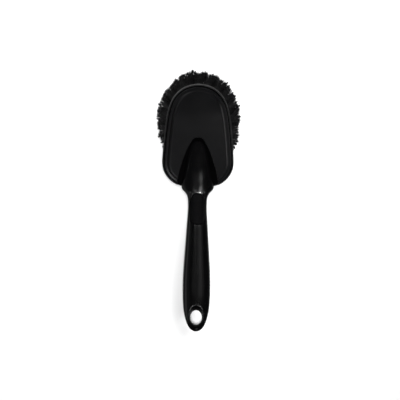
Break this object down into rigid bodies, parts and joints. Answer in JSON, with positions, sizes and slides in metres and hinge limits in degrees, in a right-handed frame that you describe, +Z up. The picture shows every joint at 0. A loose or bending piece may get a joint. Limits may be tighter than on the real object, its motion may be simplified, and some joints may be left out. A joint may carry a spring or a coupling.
{
  "type": "wheel brush",
  "caption": "Hand brush for cleaning car wheels: oval head with flared soft bristles, raised back panel with a V notch, tapered straight handle with a thumb pad and an oval hanging hole.",
  "frame": {"origin": "on the plane that the trimmed bristle tips stand on, under the centre of the bounding box", "axes": "+Y along the brush from the hanging hole to the front of the head, +Z up out of the back of the head, bristles pointing to -Z, +X to the right"},
  "size_m": [0.0868, 0.2755, 0.0549],
  "materials": {
    "block_plastic": "satin moulded black polypropylene",
    "cover_plastic": "satin moulded black polypropylene",
    "grip_plastic": "satin moulded black plastic",
    "pad_rubber": "matte black soft-touch elastomer",
    "bristle_fibre": "black flagged polyester filament"
  },
  "bodies": {
    "root": {"bristle_block": "block_plastic", "head_cover": "cover_plastic", "handle": "grip_plastic", "thumb_pad": "pad_rubber", "tuft_01": "bristle_fibre", "tuft_02": "bristle_fibre", "tuft_03": "bristle_fibre", "tuft_04": "bristle_fibre", "tuft_05": "bristle_fibre", "tuft_06": "bristle_fibre", "tuft_07": "bristle_fibre", "tuft_08": "bristle_fibre", "tuft_09": "bristle_fibre", "tuft_10": "bristle_fibre", "tuft_11": "bristle_fibre", "tuft_12": "bristle_fibre", "tuft_13": "bristle_fibre", "tuft_14": "bristle_fibre", "tuft_15": "bristle_fibre", "tuft_16": "bristle_fibre", "tuft_17": "bristle_fibre", "tuft_18": "bristle_fibre", "tuft_19": "bristle_fibre", "tuft_20": "bristle_fibre", "tuft_21": "bristle_fibre", "tuft_22": "bristle_fibre", "tuft_23": "bristle_fibre", "tuft_24": "bristle_fibre", "tuft_25": "bristle_fibre", "tuft_26": "bristle_fibre", "tuft_27": "bristle_fibre", "tuft_28": "bristle_fibre", "tuft_29": "bristle_fibre", "tuft_30": "bristle_fibre", "tuft_31": "bristle_fibre", "tuft_32": "bristle_fibre", "tuft_33": "bristle_fibre", "tuft_34": "bristle_fibre", "tuft_35": "bristle_fibre", "tuft_36": "bristle_fibre", "tuft_37": "bristle_fibre", "tuft_38": "bristle_fibre", "tuft_39": "bristle_fibre", "tuft_40": "bristle_fibre", "tuft_41": "bristle_fibre", "tuft_42": "bristle_fibre", "tuft_43": "bristle_fibre", "tuft_44": "bristle_fibre", "tuft_45": "bristle_fibre", "tuft_46": "bristle_fibre", "tuft_47": "bristle_fibre", "tuft_48": "bristle_fibre", "tuft_49": "bristle_fibre", "tuft_50": "bristle_fibre", "tuft_51": "bristle_fibre", "tuft_52": "bristle_fibre"}
  },
  "joints": []
}
